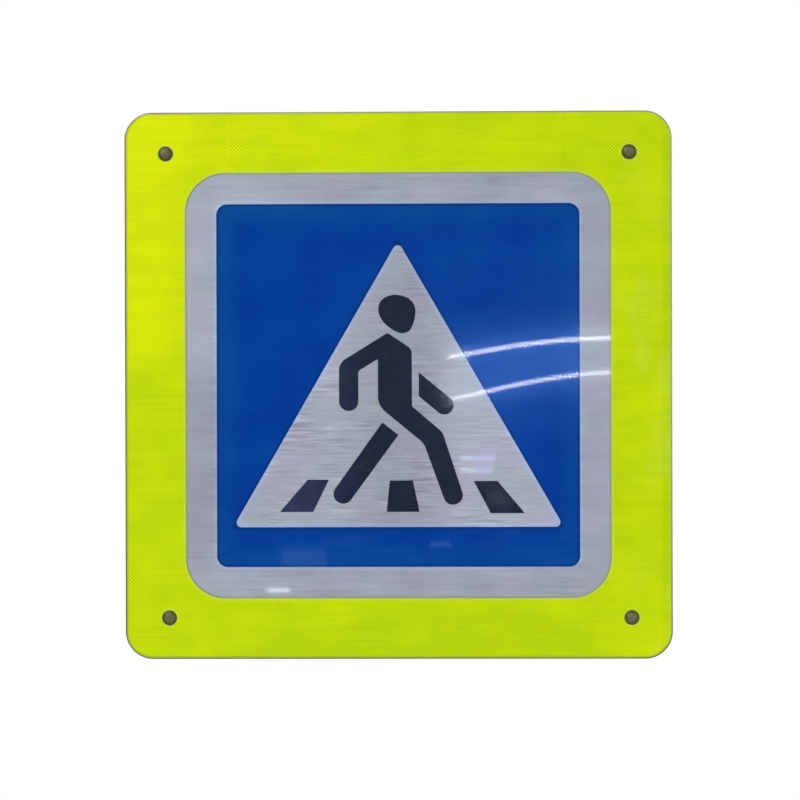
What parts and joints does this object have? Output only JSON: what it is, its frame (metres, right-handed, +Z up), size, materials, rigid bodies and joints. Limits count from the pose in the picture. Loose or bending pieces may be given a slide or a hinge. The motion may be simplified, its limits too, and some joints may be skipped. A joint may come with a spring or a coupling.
{
  "type": "pedestrian crossing sign",
  "caption": "Square pedestrian-crossing sign: a fluorescent film-covered sheet on slotted rails, with sliding hoop clamps for a round post.",
  "frame": {"origin": "on the axis of the round post that the clamps grip, halfway up between the two clamps", "axes": "+X to the viewer's right along the rails, +Y from the printed face to the back, +Z up along the post"},
  "size_m": [0.9, 0.1134, 0.9],
  "materials": {
    "sheet_metal": "galvanised, dull, with a faint spangle",
    "rail_metal": "hot-dip galvanised, dull grey",
    "clamp_metal": "hot-dip galvanised, dull grey",
    "fastener_metal": "zinc plated, darkened",
    "yellow_film": "fluorescent yellow-green micro-prismatic reflective film",
    "white_film": "white micro-prismatic reflective film, silvery when not lit from the front",
    "blue_film": "transparent blue overlay film, glossy",
    "black_film": "black overlay film, satin"
  },
  "bodies": {
    "sign_board": {"face_panel": "sheet_metal", "yellow_film": "yellow_film", "white_film": "white_film", "blue_film": "blue_film", "figure_head": "black_film", "figure_body": "black_film", "figure_arm": "black_film", "figure_leg": "black_film", "stripe_left": "black_film", "stripe_middle": "black_film", "stripe_right": "black_film", "bolt_upper_left": "fastener_metal", "washer_upper_left": "fastener_metal", "nut_upper_left": "fastener_metal", "bolt_upper_right": "fastener_metal", "washer_upper_right": "fastener_metal", "nut_upper_right": "fastener_metal", "bolt_lower_left": "fastener_metal", "washer_lower_left": "fastener_metal", "nut_lower_left": "fastener_metal", "bolt_lower_right": "fastener_metal", "washer_lower_right": "fastener_metal", "nut_lower_right": "fastener_metal", "upper_rail": "rail_metal", "lower_rail": "rail_metal"},
    "upper_clamp": {"upper_cradle": "clamp_metal", "upper_tbolt_left": "fastener_metal", "upper_tbolt_right": "fastener_metal"},
    "upper_hoop_set": {"upper_hoop": "clamp_metal", "upper_clamp_washer_left": "fastener_metal", "upper_clamp_nut_left": "fastener_metal", "upper_clamp_washer_right": "fastener_metal", "upper_clamp_nut_right": "fastener_metal"},
    "lower_clamp": {"lower_cradle": "clamp_metal", "lower_tbolt_left": "fastener_metal", "lower_tbolt_right": "fastener_metal"},
    "lower_hoop_set": {"lower_hoop": "clamp_metal", "lower_clamp_washer_left": "fastener_metal", "lower_clamp_nut_left": "fastener_metal", "lower_clamp_washer_right": "fastener_metal", "lower_clamp_nut_right": "fastener_metal"}
  },
  "joints": [
    {"name": "upper_clamp_slide", "type": "slide", "parent": "sign_board", "child": "upper_clamp", "axis": [1, 0, 0], "range_m": [-0.3, 0.3]},
    {"name": "upper_hoop_release", "type": "slide", "parent": "upper_clamp", "child": "upper_hoop_set", "axis": [0, 1, 0], "range_m": [0, 0.01]},
    {"name": "lower_clamp_slide", "type": "slide", "parent": "sign_board", "child": "lower_clamp", "axis": [1, 0, 0], "range_m": [-0.3, 0.3]},
    {"name": "lower_hoop_release", "type": "slide", "parent": "lower_clamp", "child": "lower_hoop_set", "axis": [0, 1, 0], "range_m": [0, 0.01]}
  ]
}
